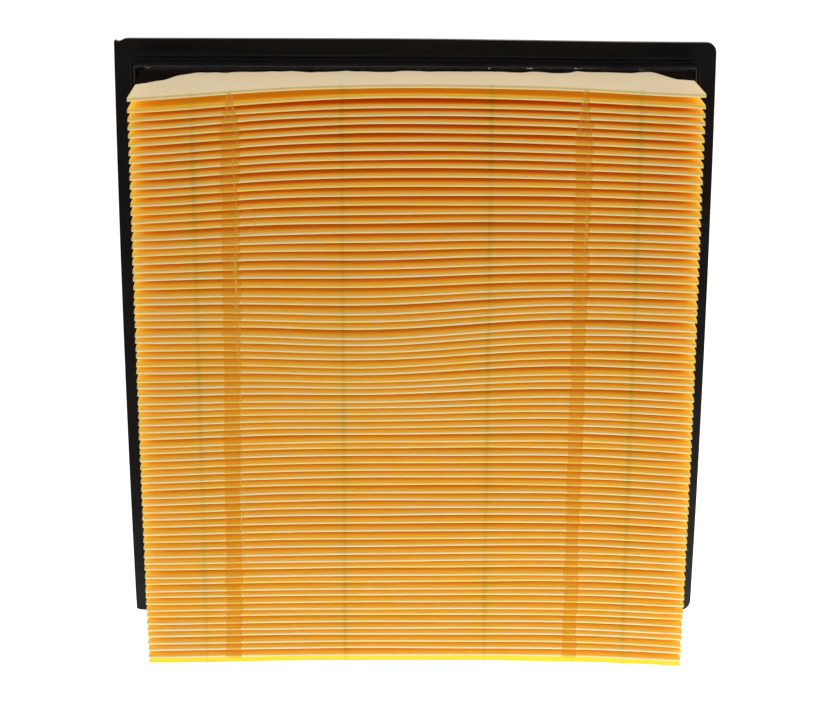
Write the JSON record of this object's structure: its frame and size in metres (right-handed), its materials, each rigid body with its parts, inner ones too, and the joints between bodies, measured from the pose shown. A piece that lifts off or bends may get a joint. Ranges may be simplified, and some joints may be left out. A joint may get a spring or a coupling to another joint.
{
  "type": "panel air filter",
  "caption": "Deep pleated-paper panel air filter cast into a near-square black moulded seal frame, with amber glue beads across its folds.",
  "frame": {"origin": "on the plane the frame rests on, at the middle of the frame", "axes": "+Z out of the open front of the pleats, away from the frame; +X across the pack along the folds; +Y to the end where the paper starts with a closed fold"},
  "size_m": [0.252, 0.2584, 0.0808],
  "materials": {
    "seal_polyurethane": "satin, moulded, soft",
    "filter_paper": "matte, resin-treated, slightly translucent",
    "hot_melt_glue": "glossy, translucent amber",
    "black_sealant": "glossy, uneven"
  },
  "bodies": {
    "root": {"seal_frame": "seal_polyurethane", "pleated_paper": "filter_paper", "front_bead_left": "hot_melt_glue", "front_bead_right": "hot_melt_glue", "rear_bead_1": "hot_melt_glue", "rear_bead_2": "hot_melt_glue", "rear_bead_3": "hot_melt_glue", "rear_bead_4": "hot_melt_glue", "pleat_end_glue_left": "hot_melt_glue", "pleat_end_glue_right": "hot_melt_glue", "sealant_top": "black_sealant", "sealant_bottom": "black_sealant", "sealant_left": "black_sealant", "sealant_right": "black_sealant"}
  },
  "joints": []
}
